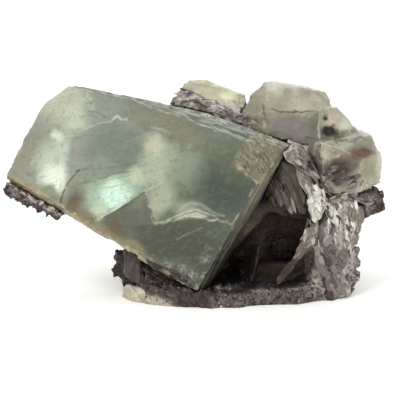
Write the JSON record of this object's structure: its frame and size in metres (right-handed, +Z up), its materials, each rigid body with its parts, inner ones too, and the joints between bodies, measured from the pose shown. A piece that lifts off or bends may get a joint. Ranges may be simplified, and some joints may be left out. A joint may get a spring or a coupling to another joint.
{
  "type": "mineral specimen",
  "caption": "Fluorite mineral specimen: a large tilted grey-green crystal block and smaller crystals grown on dark vein rock.",
  "frame": {"origin": "centre of the bounding box, on the surface that the specimen rests on", "axes": "+X along the longest side, to the right as seen from the show side; -Y out of the show side; +Z up"},
  "size_m": [0.1013, 0.0465, 0.0558],
  "materials": {
    "main_crystal": "vitreous, translucent, cloudy, with grey-green zones",
    "rear_crystals": "vitreous to waxy, pale greenish beige and grey",
    "ridge_crystal": "vitreous, pale yellow-green",
    "cap_shard": "satin, pale pinkish beige",
    "splinter": "satin, streaky pinkish grey",
    "inner_crystal": "vitreous, very dark green",
    "icy_shard": "icy white, translucent",
    "fang_blade": "satin, cream to grey-brown",
    "thin_blade": "satin, dark green-grey",
    "quartz_seam": "satin, streaky beige",
    "left_plate": "satin, beige-grey",
    "foot_quartz": "satin, pale cream",
    "tip_crust": "sugary, dark brown with pale grains",
    "matrix": "rough, dark purple-brown with pale grains"
  },
  "bodies": {
    "root": {"matrix": "matrix", "main_crystal": "main_crystal", "rear_crystals": "rear_crystals", "ridge_crystal": "ridge_crystal", "cap_shard": "cap_shard", "splinter": "splinter", "inner_crystal": "inner_crystal", "icy_shard": "icy_shard", "fang_blade": "fang_blade", "thin_blade": "thin_blade", "quartz_seam": "quartz_seam", "left_plate": "left_plate", "foot_quartz": "foot_quartz", "tip_crust": "tip_crust"}
  },
  "joints": []
}
